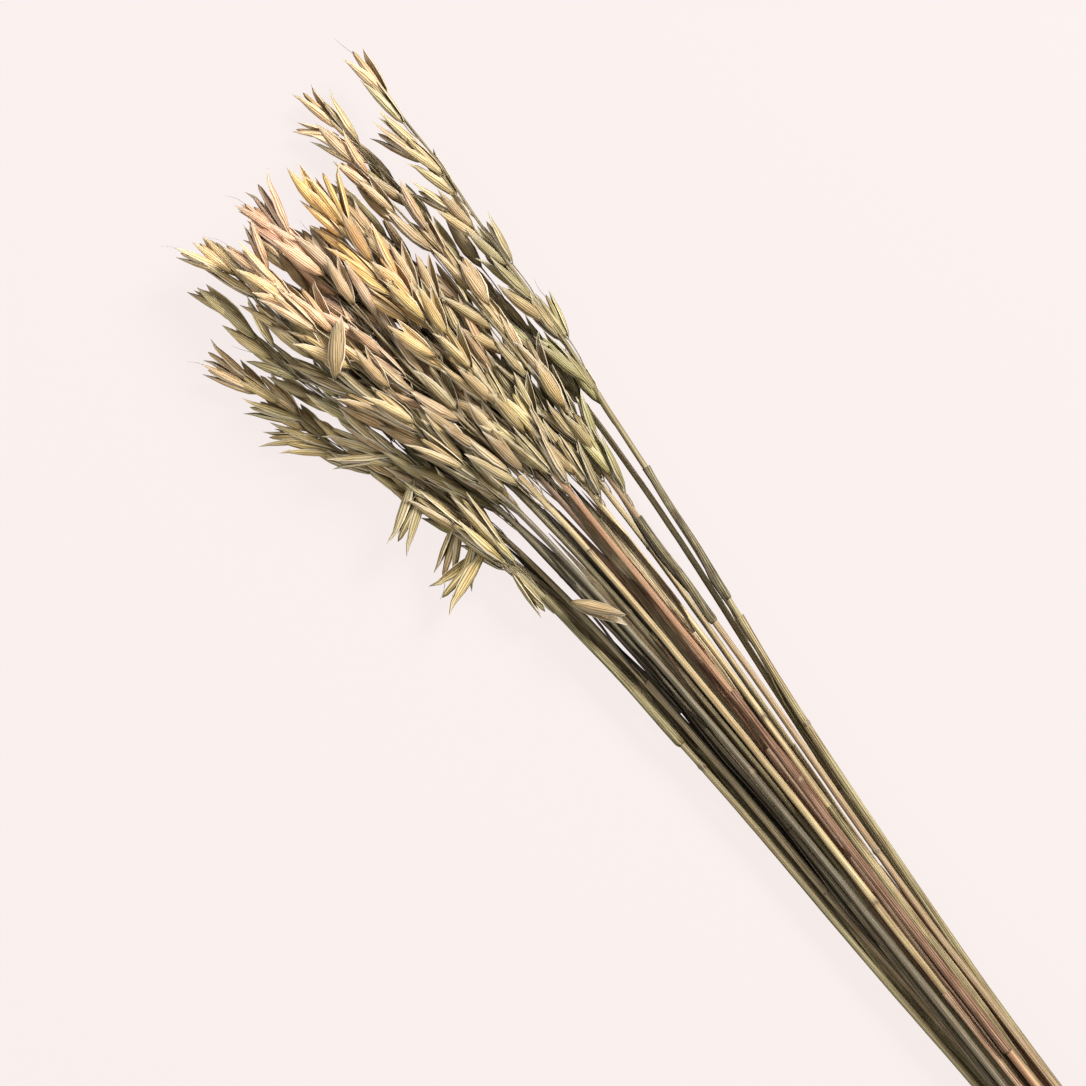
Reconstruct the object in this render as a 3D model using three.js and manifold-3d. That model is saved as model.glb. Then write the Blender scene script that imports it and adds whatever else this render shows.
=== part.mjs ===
// A bundle of dried oat stalks lying on a flat surface: stems, leaves (split sheaths, some with what is
// left of a blade), seed heads, two fallen spikelets, and the twine that ties the lot near its cut ends.
// Millimetres, +Z up. +X runs from the seed heads to the cut ends. The origin is the middle of the box,
// at its base.
import * as THREE from "three";
import { mergeVertices } from "three/addons/utils/BufferGeometryUtils.js";
import Module from "manifold-3d";

const wasm = await Module();
wasm.setup();

// Stations along the bundle: distances from the tie towards the seed heads. The cut ends are on its
// other side.
const buttLength = 88;
const lowerAt = 110;
const middleAt = 210;
const neckAt = 310;
const throatAt = 360;
const headAt = 410;
const crownAt = 480;
const sliceStep = 10;
const settlingRounds = 200;
const settlingSpare = 0.7;
const drawBackShare = 0.08;
const finishingRounds = 300;
const settlingSmoothness = 0.6;
const finishingSmoothness = 0.04;

// Stems.
const stemRadius = 1.45;
const stemSides = 6;
const stemStep = 30;
const stalkClearance = 0.4;
const tiltAllowance = 1.03; // a leaning stalk's cross-section is this much wider than the stalk

// Leaves: a sheath is a split tube round a stem, and a blade a narrow strip of the same curve beyond it.
const sheathGap = 0.45;
const sheathWall = 0.35;
const sheathHalfAngle = THREE.MathUtils.degToRad(150);
const sheathArcPoints = 7;
const bladeHalfAngle = THREE.MathUtils.degToRad(42);
const bladeArcPoints = 3;
const bladeRoot = 8; // how much of a blade lies in its sheath
const bladeInset = 0.08; // how much thinner it is than the sheath's wall, on each side
const leafStep = 30;

// Seed heads.
const rachisRadius = 0.9;
const rachisSides = 5;
const rachisStep = 24;
const headReach = 6.4; // how far spikelets stand from the rachis
const reachSlope = 0.065; // and how fast that grows from the foot of the head
const headLead = 8;
const reachMargin = 1.1;
const headGap = 0.4; // between a stem's end and its seed head

// Spikelets.
const spikeletLength = 23;
const spikeletHalfWidth = 2.7;
const spikeletFlatness = 0.66;
const spikeletSides = 4;
const bellyShare = 0.35; // how far up a spikelet it is widest
const shoulderShare = 0.7; // and how far up it starts to draw in to its tip
const shoulderWidthShare = 0.75;
const pedicelLength = 6;
const pedicelRadius = 0.5;
const spikeletPitch = 12;
const firstSpikeletAt = 5;
const goldenAngle = Math.PI * (3 - Math.sqrt(5));
const topPedicelLength = 1;
const brokenPedicelLength = 0.5;
const fallenClearance = 0.8;
const steepestLodging = 8; // the most that a fallen spikelet rises or drops over its length
const lodgingSteps = 8;

// The tie.
const tieWidth = 11;
const tieWall = 1.7;
const tieGap = 0.6;
const tieCorners = 24;
const tieRamp = 60; // how far from the tie the stalks come down from its height to the surface

// Each stalk: its sideways place and its height above the surface at the cut, at the tie and at the six
// stations from there to the crown, and where its seed head starts and ends.
const stalks = [
  {
    name: "01",
    y: [10, 6, 13.5, 26.3, 42, 48, 53, 58],
    z: [9, 10, 10, 10, 12, 14, 17, 18],
    head: [neckAt + 35, crownAt + 25],
  },
  {
    name: "02",
    y: [8, 5, 12, 24.5, 38, 42, 43, 38],
    z: [5, 6, 6, 7, 7, 7, 8, 8],
    head: [neckAt + 40, crownAt + 30],
  },
  {
    name: "03",
    y: [6.5, 5, 11.5, 21.5, 29, 32, 35, 33],
    z: [12, 12, 12, 13, 16, 20, 22, 22],
    head: [neckAt + 12, crownAt + 12],
  },
  {
    name: "04",
    y: [5, 3.5, 9.5, 17.5, 27, 27, 26, 24],
    z: [8, 8, 8, 8, 8, 8, 8, 8],
    head: [neckAt + 22, crownAt - 7],
  },
  {
    name: "05",
    y: [3, 2.5, 7.5, 15.5, 21.5, 22, 19.5, 19],
    z: [14, 14.5, 15, 15, 18, 21, 22, 22],
    head: [neckAt + 20, crownAt - 15],
  },
  {
    name: "06",
    y: [1, 1, 6, 12.5, 15, 16, 14, 13],
    z: [16, 17, 18, 20, 25, 32, 36, 36],
    head: [neckAt + 30, crownAt + 4],
  },
  {
    name: "07",
    y: [0, 0, 4.5, 10, 12, 10, 5, 3],
    z: [13, 14, 14, 14, 17, 19, 22, 22],
    head: [neckAt + 30, crownAt - 9],
  },
  {
    name: "08",
    y: [-2, -1, 2.5, 6, 8, 5, -1, -5],
    z: [15, 16.5, 18, 19, 24, 31, 36, 35],
    head: [neckAt + 30, crownAt + 12],
  },
  {
    name: "09",
    y: [-3, -2.5, 0, 3, 4, 1, -9, -12],
    z: [12, 12.5, 13, 13, 16, 19, 22, 22],
    head: [neckAt + 35, crownAt],
  },
  {
    name: "10",
    y: [-5, -4, -3, 0.5, -1, -4, -16, -21],
    z: [14, 15, 16, 17, 22, 30, 36, 34],
    head: [neckAt + 30, crownAt + 5],
  },
  {
    name: "11",
    y: [-7, -5.5, -5.5, -2, -4, -9, -24, -29],
    z: [11, 11, 12, 12, 15, 19, 22, 22],
    head: [neckAt + 30, crownAt + 12],
  },
  {
    name: "12",
    y: [-9, -7, -9, -7, -10, -16, -34, -42],
    z: [8.5, 9, 10, 10, 9, 9, 8, 8],
    head: [neckAt + 25, crownAt],
  },
  {
    name: "13",
    y: [-10, -8, -10.5, -9.5, -13, -21, -47, -55],
    z: [6, 6, 6, 6, 6, 7, 8, 8],
    head: [neckAt + 25, crownAt - 21],
  },
  {
    name: "14",
    y: [-12, -8.5, -11.5, -11.5, -16, -20, -42, -50],
    z: [9, 9.5, 9, 8.5, 13, 17, 20, 20],
    head: [neckAt + 10, crownAt - 69],
  },
  {
    name: "15",
    y: [4, 2.5, 3.5, 8, 14, 13, 10, 10],
    z: [3, 4.5, 4, 5, 8, 8, 8, 8],
    head: [neckAt + 35, crownAt - 10],
  },
  {
    name: "16",
    y: [0, 0, -1, 3, 4, 3, -5, -5],
    z: [3, 4, 3, 4, 7, 7, 8, 8],
    head: [neckAt + 35, crownAt - 5],
  },
  {
    name: "17",
    y: [-5, -3, -5, -3, -6, -8, -20, -22],
    z: [4, 4.5, 4, 5, 7, 7, 8, 8],
    head: [neckAt + 30, crownAt - 15],
  },
];

// Leaves: the stalk that each wraps, where its sheath starts and ends, and where its blade ends if it has
// one.
const leaves = [
  { stalk: "01", from: lowerAt - 70, to: middleAt - 14, bladeTo: middleAt + 44 },
  { stalk: "01", from: middleAt + 52, to: neckAt + 8 },
  { stalk: "03", from: -60, to: lowerAt - 40 },
  { stalk: "03", from: middleAt + 49, to: neckAt - 4 },
  { stalk: "04", from: lowerAt - 50, to: middleAt - 5 },
  { stalk: "05", from: lowerAt - 70, to: middleAt - 30 },
  { stalk: "06", from: lowerAt - 40, to: middleAt - 1, bladeTo: middleAt + 26 },
  { stalk: "08", from: -70, to: lowerAt - 9 },
  { stalk: "11", from: lowerAt - 90, to: lowerAt + 38 },
  { stalk: "12", from: lowerAt - 80, to: middleAt - 22, bladeTo: middleAt + 48 },
  { stalk: "13", from: lowerAt - 20, to: middleAt + 30 },
  { stalk: "14", from: -70, to: lowerAt - 50 },
  { stalk: "14", from: middleAt + 22, to: neckAt - 4 },
];

// Fallen spikelets, lodged on the bundle: where the tip of each lies, and the way it points from there.
const fallen = [
  { at: headAt + 20, y: -8, heading: 136 },
  { at: neckAt - 29, y: 2.3, heading: 36 },
];

const colours = {
  stem: 0xa8996c,
  leaf: 0xb59a75,
  seedHead: 0xb7a67c,
  twine: 0xb08d57,
};

const bundle = new THREE.Group();

function addNode(name, geometry, colour) {
  const material = new THREE.MeshStandardMaterial({ color: colour, roughness: 0.8, metalness: 0 });
  const mesh = new THREE.Mesh(geometry, material);
  mesh.name = name;
  bundle.add(mesh);
}

function toSolid(geometry) {
  const bare = geometry.clone();
  bare.deleteAttribute("normal");
  bare.deleteAttribute("uv");
  const merged = mergeVertices(bare, 1e-4);
  const vertProperties = new Float32Array(merged.attributes.position.array);
  const triVerts = new Uint32Array(merged.index.array);
  return new wasm.Manifold(new wasm.Mesh({ numProp: 3, vertProperties, triVerts }));
}

function toGeometry(solid) {
  const mesh = solid.getMesh();
  const geometry = new THREE.BufferGeometry();
  geometry.setAttribute("position", new THREE.BufferAttribute(mesh.vertProperties, 3));
  geometry.setIndex(new THREE.BufferAttribute(mesh.triVerts, 1));
  return geometry;
}

function hasLeafAt(stalk, distance) {
  const own = leaves.filter((leaf) => leaf.stalk === stalk.name);
  const spans = own.map((leaf) => [leaf.from - sliceStep, (leaf.bladeTo ?? leaf.to) + sliceStep]);
  return spans.some(([start, end]) => distance > start && distance < end);
}

// How far a stalk reaches from its own line at a distance along it, with the leaf or spikelets there.
function reachAt(stalk, distance) {
  const bare = hasLeafAt(stalk, distance) ? stemRadius + sheathGap + sheathWall : stemRadius;
  const spread = stemRadius + reachSlope * (distance - stalk.head[0] + headLead);
  return Math.min(Math.max(bare, spread), Math.max(headReach, bare));
}

// How high the tie's own wall holds the stalks off the surface.
function floorAt(distance) {
  const beyondTie = Math.max(0, Math.abs(distance) - tieWidth);
  const lift = tieWall + tieGap;
  return lift * Math.max(0, 1 - beyondTie / tieRamp);
}

// A value at a distance along the bundle, between the hand-set ones at the stations.
function alongStations(values, distance) {
  const stations = [-buttLength, 0, lowerAt, middleAt, neckAt, throatAt, headAt, crownAt];
  const after = stations.findIndex((station) => station > distance);
  const i = after === -1 ? stations.length - 2 : Math.max(after - 1, 0);
  const t = (distance - stations[i]) / (stations[i + 1] - stations[i]);
  return THREE.MathUtils.lerp(values[i], values[i + 1], t);
}

// Moves two points of one slice apart until they are as far from each other as needed.
function pushApart(a, b, needed) {
  const distance = Math.max(Math.hypot(b.y - a.y, b.z - a.z), 1e-6);
  const shift = Math.max(0, needed - distance) / (2 * distance);
  const dy = (b.y - a.y) * shift;
  const dz = (b.z - a.z) * shift;
  a.y -= dy;
  a.z -= dz;
  b.y += dy;
  b.z += dz;
}

function separate(lines, slices, spare) {
  slices.forEach((distance, k) => {
    const here = lines.map((line) => line[k]).filter((point) => point.present);
    const floor = floorAt(distance);
    here.forEach((a, i) => {
      const later = here.slice(i + 1);
      later.forEach((b) => pushApart(a, b, (a.reach + b.reach) * tiltAllowance + stalkClearance + spare));
      a.z = Math.max(a.z, a.reach + floor);
    });
  });
}

// Draws every point a little way back to where it was set by hand.
function drawBack(lines) {
  lines.flat().forEach((point) => {
    point.y = THREE.MathUtils.lerp(point.y, point.wantedY, drawBackShare);
    point.z = THREE.MathUtils.lerp(point.z, point.wantedZ, drawBackShare);
  });
}

function smooth(lines, strength) {
  lines.forEach((line) => {
    const before = line.map(({ y, z }) => ({ y, z }));
    for (let k = 1; k < line.length - 1; k++) {
      line[k].y += strength * ((before[k - 1].y + before[k + 1].y) / 2 - before[k].y);
      line[k].z += strength * ((before[k - 1].z + before[k + 1].z) / 2 - before[k].z);
    }
  });
}

// Lets the stalks settle from their hand-set places until none lies in another or in the surface.
function settle() {
  const slices = [];
  const farthest = Math.max(...stalks.map((stalk) => stalk.head[1]));
  for (let d = -buttLength; d < farthest + sliceStep; d += sliceStep) slices.push(d);
  const lines = stalks.map((stalk) =>
    slices.map((distance) => ({
      y: alongStations(stalk.y, distance),
      z: alongStations(stalk.z, distance),
      reach: reachAt(stalk, distance),
      wantedY: alongStations(stalk.y, distance),
      wantedZ: alongStations(stalk.z, distance),
      present: distance < stalk.head[1] + sliceStep,
    })),
  );
  for (let round = 0; round < settlingRounds; round++) {
    drawBack(lines);
    separate(lines, slices, settlingSpare);
    smooth(lines, settlingSmoothness);
  }
  for (let round = 0; round < finishingRounds; round++) {
    separate(lines, slices, 0);
    smooth(lines, finishingSmoothness * (1 - round / finishingRounds));
  }
  return new Map(stalks.map((stalk, i) => [stalk.name, lines[i]]));
}

const settledLines = settle();

function pointOn(name, distance) {
  const line = settledLines.get(name);
  const place = (distance + buttLength) / sliceStep;
  const k = Math.min(Math.max(Math.floor(place), 0), line.length - 2);
  const y = THREE.MathUtils.lerp(line[k].y, line[k + 1].y, place - k);
  const z = THREE.MathUtils.lerp(line[k].z, line[k + 1].z, place - k);
  return new THREE.Vector3(-distance, y, z);
}

// A stretch of a stalk's line, stepped evenly along the bundle.
class StalkLine extends THREE.Curve {
  constructor(name, from, to) {
    super();
    this.pointAt = (t) => pointOn(name, THREE.MathUtils.lerp(from, to, t));
  }

  getPoint(t) {
    return this.pointAt(t);
  }

  getUtoTmapping(u) {
    return u;
  }
}

const stepsBetween = (from, to, step) => Math.max(2, Math.round((to - from) / step));

function sweepAlong(name, from, to, section, step) {
  const extrudePath = new StalkLine(name, from, to);
  const steps = stepsBetween(from, to, step);
  return new THREE.ExtrudeGeometry(section, { steps, extrudePath, bevelEnabled: false });
}

// The middle of a swept piece at a distance: on the straight run between two of its rings.
function middleOfSweep(name, from, to, step, distance) {
  const ringGap = (to - from) / stepsBetween(from, to, step);
  const ring = from + ringGap * Math.floor((distance - from) / ringGap);
  return pointOn(name, ring).lerp(pointOn(name, ring + ringGap), (distance - ring) / ringGap);
}

function regularSection(radius, sides) {
  const corners = [];
  for (let i = 0; i < sides; i++) {
    const angle = (2 * Math.PI * i) / sides;
    corners.push(new THREE.Vector2(radius * Math.cos(angle), radius * Math.sin(angle)));
  }
  return new THREE.Shape(corners);
}

function arcSection(inner, outer, halfAngle, pointCount) {
  const arc = (radius, start, end) => {
    const points = [];
    for (let i = 0; i < pointCount; i++) {
      const angle = THREE.MathUtils.lerp(start, end, i / (pointCount - 1));
      points.push(new THREE.Vector2(radius * Math.cos(angle), radius * Math.sin(angle)));
    }
    return points;
  };
  return new THREE.Shape([...arc(outer, -halfAngle, halfAngle), ...arc(inner, halfAngle, -halfAngle)]);
}

function stem(stalk) {
  const section = regularSection(stemRadius, stemSides);
  return sweepAlong(stalk.name, -buttLength, stalk.head[0] - headGap, section, stemStep);
}

function leaf({ stalk, from, to, bladeTo }) {
  const inner = stemRadius + sheathGap;
  const outer = inner + sheathWall;
  const sheathSection = arcSection(inner, outer, sheathHalfAngle, sheathArcPoints);
  const sheath = sweepAlong(stalk, from, to, sheathSection, leafStep);
  if (!bladeTo) return sheath;
  const bladeSection = arcSection(inner + bladeInset, outer - bladeInset, bladeHalfAngle, bladeArcPoints);
  const blade = sweepAlong(stalk, to - bladeRoot, bladeTo, bladeSection, leafStep);
  return toGeometry(toSolid(sheath).add(toSolid(blade)));
}

// A spikelet on a pedicel: its foot at the origin, its tip along +Z, flattened across Y.
function spikeletShape(footLength) {
  const profile = [
    new THREE.Vector2(0, 0),
    new THREE.Vector2(pedicelRadius, footLength),
    new THREE.Vector2(spikeletHalfWidth, footLength + bellyShare * spikeletLength),
    new THREE.Vector2(shoulderWidthShare * spikeletHalfWidth, footLength + shoulderShare * spikeletLength),
    new THREE.Vector2(0, footLength + spikeletLength),
  ];
  const shape = new THREE.LatheGeometry(profile, spikeletSides);
  shape.rotateX(Math.PI / 2);
  return shape.scale(1, spikeletFlatness, 1);
}

// Stands a spikelet on a foot, pointing at a place, its thin way turned towards a side.
function placeSpikelet(shape, foot, aim, side) {
  const along = aim.clone().sub(foot).normalize();
  const wide = new THREE.Vector3().crossVectors(along, side).normalize();
  const thin = new THREE.Vector3().crossVectors(along, wide);
  const placing = new THREE.Matrix4().makeBasis(wide, thin, along).setPosition(foot);
  return shape.clone().applyMatrix4(placing);
}

function seedHead(stalk, index) {
  const [foot, tip] = stalk.head;
  const rachisEnd = tip - spikeletLength;
  const fullLength = pedicelLength + spikeletLength;
  const belly = (pedicelLength + bellyShare * spikeletLength) / fullLength;
  const section = regularSection(rachisRadius, rachisSides);
  const rachis = sweepAlong(stalk.name, foot, rachisEnd, section, rachisStep);
  const shape = spikeletShape(pedicelLength);
  let solid = toSolid(rachis);
  const rachisMiddle = (distance) => middleOfSweep(stalk.name, foot, rachisEnd, rachisStep, distance);
  const count = Math.floor((rachisEnd - foot - firstSpikeletAt) / spikeletPitch);
  for (let k = 0; k < count; k++) {
    const at = foot + firstSpikeletAt + k * spikeletPitch;
    const reachAtBelly = reachAt(stalk, at + belly * fullLength);
    const roomAtBelly = (reachAtBelly - reachMargin - spikeletHalfWidth) / belly;
    const room = Math.min(reachAt(stalk, at + fullLength) - reachMargin, roomAtBelly);
    const turn = k * goldenAngle + index;
    const out = new THREE.Vector3(0, Math.cos(turn), Math.sin(turn));
    const aim = pointOn(stalk.name, at + fullLength).addScaledVector(out, Math.max(room, 0));
    solid = solid.add(toSolid(placeSpikelet(shape, rachisMiddle(at), aim, out)));
  }
  const topFoot = rachisMiddle(rachisEnd - 1);
  const side = new THREE.Vector3(0, 0.3, 1);
  const top = placeSpikelet(spikeletShape(topPedicelLength), topFoot, pointOn(stalk.name, tip), side);
  return toGeometry(solid.add(toSolid(top)));
}

// How high a disc of a given radius has to be, at a place, to clear every stalk there.
function heightOver(distance, y, radius) {
  const here = stalks.filter((stalk) => distance < stalk.head[1] + sliceStep);
  const tops = here.map((stalk) => {
    const point = pointOn(stalk.name, distance);
    const reach = (reachAt(stalk, distance) + radius) * tiltAllowance;
    const off = Math.abs(point.y - y);
    return off < reach ? point.z + Math.sqrt(reach * reach - off * off) : 0;
  });
  return Math.max(...tops);
}

// Lays a spikelet across the stalks under it: it leans from the higher end of them to the lower one, and
// rests on the stalk that comes up farthest between.
function fallenSpikelet({ at, y, heading }) {
  const angle = THREE.MathUtils.degToRad(heading);
  const way = new THREE.Vector3(Math.cos(angle), Math.sin(angle), 0);
  const length = brokenPedicelLength + spikeletLength;
  const shares = Array.from({ length: lodgingSteps + 1 }, (_, i) => i / lodgingSteps);
  const heights = shares.map((share) => {
    const place = new THREE.Vector3(-at, y, 0).addScaledVector(way, -share * length);
    return heightOver(-place.x, place.y, spikeletHalfWidth * spikeletFlatness);
  });
  const drop = THREE.MathUtils.clamp(heights[0] - heights.at(-1), -steepestLodging, steepestLodging);
  const tipHeight = Math.max(...shares.map((share, i) => heights[i] + share * drop)) + fallenClearance;
  const tip = new THREE.Vector3(-at, y, tipHeight);
  const run = Math.sqrt(length * length - drop * drop);
  const foot = tip.clone().addScaledVector(way, -run);
  foot.z -= drop;
  return placeSpikelet(spikeletShape(brokenPedicelLength), foot, tip, new THREE.Vector3(0, 0, 1));
}

// A band round the stalks at the tie, its hole clear of them all.
function tie() {
  const slices = [-tieWidth / 2, 0, tieWidth / 2];
  const held = stalks.flatMap((stalk) =>
    slices.map((distance) => ({ point: pointOn(stalk.name, distance), reach: reachAt(stalk, distance) })),
  );
  const middle = new THREE.Vector3();
  held.forEach(({ point }) => middle.addScaledVector(point, 1 / held.length));
  const turn = (2 * Math.PI) / tieCorners;
  const farthestAt = (angle) => {
    const across = ({ point, reach }) =>
      (point.y - middle.y) * Math.cos(angle) + (point.z - middle.z) * Math.sin(angle) + reach;
    return Math.max(...held.map(across));
  };
  // Each corner is where two neighbouring lines that just touch the stalks, moved out by the gap, cross.
  const outline = (gap) => {
    const corners = [];
    for (let i = 0; i < tieCorners; i++) {
      const angle = i * turn;
      const out = farthestAt(angle) + gap;
      const nextOut = farthestAt(angle + turn) + gap;
      const along = (nextOut - out * Math.cos(turn)) / Math.sin(turn);
      const y = out * Math.cos(angle) - along * Math.sin(angle);
      const z = out * Math.sin(angle) + along * Math.cos(angle);
      corners.push(new THREE.Vector2(y, z));
    }
    return corners;
  };
  const shape = new THREE.Shape(outline(tieGap + tieWall));
  shape.holes.push(new THREE.Path(outline(tieGap)));
  const ring = new THREE.ExtrudeGeometry(shape, { depth: tieWidth, steps: 1, bevelEnabled: false });
  const placing = new THREE.Matrix4().makeBasis(
    new THREE.Vector3(0, 1, 0),
    new THREE.Vector3(0, 0, 1),
    new THREE.Vector3(1, 0, 0),
  );
  return ring.applyMatrix4(placing).translate(-tieWidth / 2, middle.y, middle.z);
}

stalks.forEach((stalk) => addNode("stem_" + stalk.name, stem(stalk), colours.stem));
leaves.forEach((each, i) => addNode("leaf_" + String(i + 1).padStart(2, "0"), leaf(each), colours.leaf));
stalks.forEach((stalk, i) => addNode("seed_head_" + stalk.name, seedHead(stalk, i), colours.seedHead));
fallen.forEach((each, i) => addNode("fallen_spikelet_" + (i + 1), fallenSpikelet(each), colours.seedHead));
addNode("twine_tie", tie(), colours.twine);

const box = new THREE.Box3().setFromObject(bundle);
const centre = box.getCenter(new THREE.Vector3());
bundle.position.set(-centre.x, -centre.y, -box.min.z);

export default bundle;
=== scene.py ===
import bpy
import math
import random
from mathutils import Matrix, Vector


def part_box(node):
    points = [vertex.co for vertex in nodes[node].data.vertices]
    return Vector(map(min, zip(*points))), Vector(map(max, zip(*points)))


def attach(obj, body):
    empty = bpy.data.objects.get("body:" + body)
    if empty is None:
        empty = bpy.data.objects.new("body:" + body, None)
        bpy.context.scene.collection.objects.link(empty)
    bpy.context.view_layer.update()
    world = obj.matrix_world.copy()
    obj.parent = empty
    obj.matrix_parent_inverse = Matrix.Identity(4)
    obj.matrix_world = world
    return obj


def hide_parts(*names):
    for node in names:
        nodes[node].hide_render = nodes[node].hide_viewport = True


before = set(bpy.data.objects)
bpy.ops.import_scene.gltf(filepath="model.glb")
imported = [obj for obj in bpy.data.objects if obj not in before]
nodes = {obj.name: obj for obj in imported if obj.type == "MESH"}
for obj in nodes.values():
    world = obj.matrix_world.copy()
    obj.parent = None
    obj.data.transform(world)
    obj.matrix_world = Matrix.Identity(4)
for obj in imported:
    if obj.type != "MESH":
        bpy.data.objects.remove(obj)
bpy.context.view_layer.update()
mm = 0.001
restLevel = 0.2 * mm  # nothing reaches lower than this
random.seed(11)


def deselectAll():
    bpy.ops.object.select_all(action="DESELECT")


def makeActive(piece):
    deselectAll()
    piece.select_set(True)
    bpy.context.view_layer.objects.active = piece


def applyModifiers(piece):
    makeActive(piece)
    for modifier in list(piece.modifiers):
        bpy.ops.object.modifier_apply(modifier=modifier.name)


def joinAll(pieces, name):
    deselectAll()
    for piece in pieces:
        piece.select_set(True)
    bpy.context.view_layer.objects.active = pieces[0]
    bpy.ops.object.join()
    whole = bpy.context.object
    whole.name = name
    whole.data.name = name
    return whole


def selectVertices(piece, wanted):
    bpy.ops.object.mode_set(mode="EDIT")
    bpy.ops.mesh.select_mode(type="VERT")
    bpy.ops.mesh.select_all(action="DESELECT")
    bpy.ops.object.mode_set(mode="OBJECT")
    for vertex in piece.data.vertices:
        vertex.select = wanted(vertex.co)
    bpy.ops.object.mode_set(mode="EDIT")


def shiftVertices(piece, wanted, offset):
    selectVertices(piece, wanted)
    bpy.ops.transform.translate(value=offset)
    bpy.ops.object.mode_set(mode="OBJECT")


def scaleVertices(piece, wanted, scale):
    selectVertices(piece, wanted)
    bpy.ops.transform.resize(value=scale)
    bpy.ops.object.mode_set(mode="OBJECT")


def screenColour(red, green, blue, alpha=1.0):
    # a colour as seen on a screen, 0 to 255, made linear
    def linear(value):
        share = value / 255
        return share / 12.92 if share <= 0.04045 else ((share + 0.055) / 1.055) ** 2.4

    return (linear(red), linear(green), linear(blue), alpha)


def blendColours(first, second, share):
    return tuple(a + (b - a) * share for a, b in zip(first, second))


def paintTint(piece, colourAt):
    layer = piece.data.color_attributes.new("tint", "FLOAT_COLOR", "POINT")
    for vertex in piece.data.vertices:
        layer.data[vertex.index].color = colourAt(vertex.co)


def ringCentres(node, gap=4 * mm):
    # the middles of a swept stem's rings, from the cut end to the seed head
    places = sorted((v.co.copy() for v in nodes[node].data.vertices), key=lambda p: -p.x)
    rings = [[places[0]]]
    for place in places[1:]:
        if rings[-1][-1].x - place.x > gap:
            rings.append([])
        rings[-1].append(place)
    return [boxMiddle(ring) for ring in rings]


def boxMiddle(places):
    low = Vector([min(p[i] for p in places) for i in range(3)])
    high = Vector([max(p[i] for p in places) for i in range(3)])
    return (low + high) / 2


def headCentres(node, slices=6, sliceReach=0.8):
    # the middle line of a seed head, ending at its tip
    places = [v.co.copy() for v in nodes[node].data.vertices]
    start = max(p.x for p in places)
    tip = min(places, key=lambda p: p.x)
    step = (start - tip.x) / slices
    middles = []
    for i in range(1, slices):
        x = start - i * step
        near = [p for p in places if abs(p.x - x) < sliceReach * step]
        middle = boxMiddle(near)
        middle.x = x
        middles.append(middle)
    return middles + [tip.copy()]


def stalkLine(number):
    stemPlaces = ringCentres("stem_" + number)
    return stemPlaces, stemPlaces + headCentres("seed_head_" + number)


def spotOn(line, x):
    # the place on a line at a distance along the bundle, on a smooth curve through its points
    i = 0
    while i < len(line) - 2 and line[i + 1].x > x:
        i += 1
    before, a = line[max(i - 1, 0)], line[i]
    b, after = line[i + 1], line[min(i + 2, len(line) - 1)]
    t = (x - a.x) / (b.x - a.x)
    t2 = t * t
    t3 = t2 * t
    spot = 0.5 * (2 * a + (b - before) * t + (2 * before - 5 * a + 4 * b - after) * t2
                  + (3 * a - before - 3 * b + after) * t3)
    return Vector((x, spot.y, spot.z))


stalkCount = 17
stalkNumbers = ["%02d" % i for i in range(1, stalkCount + 1)]
stems = {}
lines = {}
for number in stalkNumbers:
    stems[number], lines[number] = stalkLine(number)
print("stalk lines read:", len(lines))


def newMaterial(name):
    material = bpy.data.materials.new(name)
    material.use_nodes = True
    tree = material.node_tree
    shader = tree.nodes["Principled BSDF"]
    return material, tree, shader


def addMath(tree, operation, first, second=None):
    node = tree.nodes.new("ShaderNodeMath")
    node.operation = operation
    for socket, value in zip(node.inputs, (first, second)):
        if value is None:
            continue
        if isinstance(value, (int, float)):
            socket.default_value = value
        else:
            tree.links.new(value, socket)
    return node.outputs[0]


def addNoise(tree, vector, scale, detail=3.0, roughness=0.6):
    node = tree.nodes.new("ShaderNodeTexNoise")
    node.inputs["Scale"].default_value = scale
    node.inputs["Detail"].default_value = detail
    node.inputs["Roughness"].default_value = roughness
    tree.links.new(vector, node.inputs["Vector"])
    return node.outputs["Fac"]


def addRamp(tree, value, low, high):
    node = tree.nodes.new("ShaderNodeMapRange")
    node.inputs["From Min"].default_value = low
    node.inputs["From Max"].default_value = high
    tree.links.new(value, node.inputs["Value"])
    return node.outputs["Result"]


def addColourMix(tree, share, first, second, mode="MIX"):
    node = tree.nodes.new("ShaderNodeMix")
    node.data_type = "RGBA"
    node.blend_type = mode
    # sockets 6, 7 and 2 are the colour ones of this node
    for socket, value in ((node.inputs[0], share), (node.inputs[6], first), (node.inputs[7], second)):
        if isinstance(value, (int, float, tuple)):
            socket.default_value = value
        else:
            tree.links.new(value, socket)
    return node.outputs[2]


def addVector(tree, x, y, z):
    node = tree.nodes.new("ShaderNodeCombineXYZ")
    for socket, value in zip(node.inputs, (x, y, z)):
        if isinstance(value, (int, float)):
            socket.default_value = value
        else:
            tree.links.new(value, socket)
    return node.outputs[0]


def addBump(tree, shader, height, depth):
    node = tree.nodes.new("ShaderNodeBump")
    node.inputs["Strength"].default_value = 1.0
    node.inputs["Distance"].default_value = depth
    tree.links.new(height, node.inputs["Height"])
    tree.links.new(node.outputs["Normal"], shader.inputs["Normal"])


def surfaceParts(tree):
    # the piece's own colour and seed, and the two ways of its UV map
    tint = tree.nodes.new("ShaderNodeAttribute")
    tint.attribute_name = "tint"
    uv = tree.nodes.new("ShaderNodeUVMap")
    uv.uv_map = "UVMap"
    split = tree.nodes.new("ShaderNodeSeparateXYZ")
    tree.links.new(uv.outputs["UV"], split.inputs[0])
    return tint.outputs["Color"], tint.outputs["Alpha"], split.outputs[0], split.outputs[1]


def multiplyColour(tree, share, colour, factor):
    # darkens or warms a colour where the share is high
    return addColourMix(tree, share, colour, addColourMix(tree, 1.0, colour, factor, "MULTIPLY"))


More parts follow.
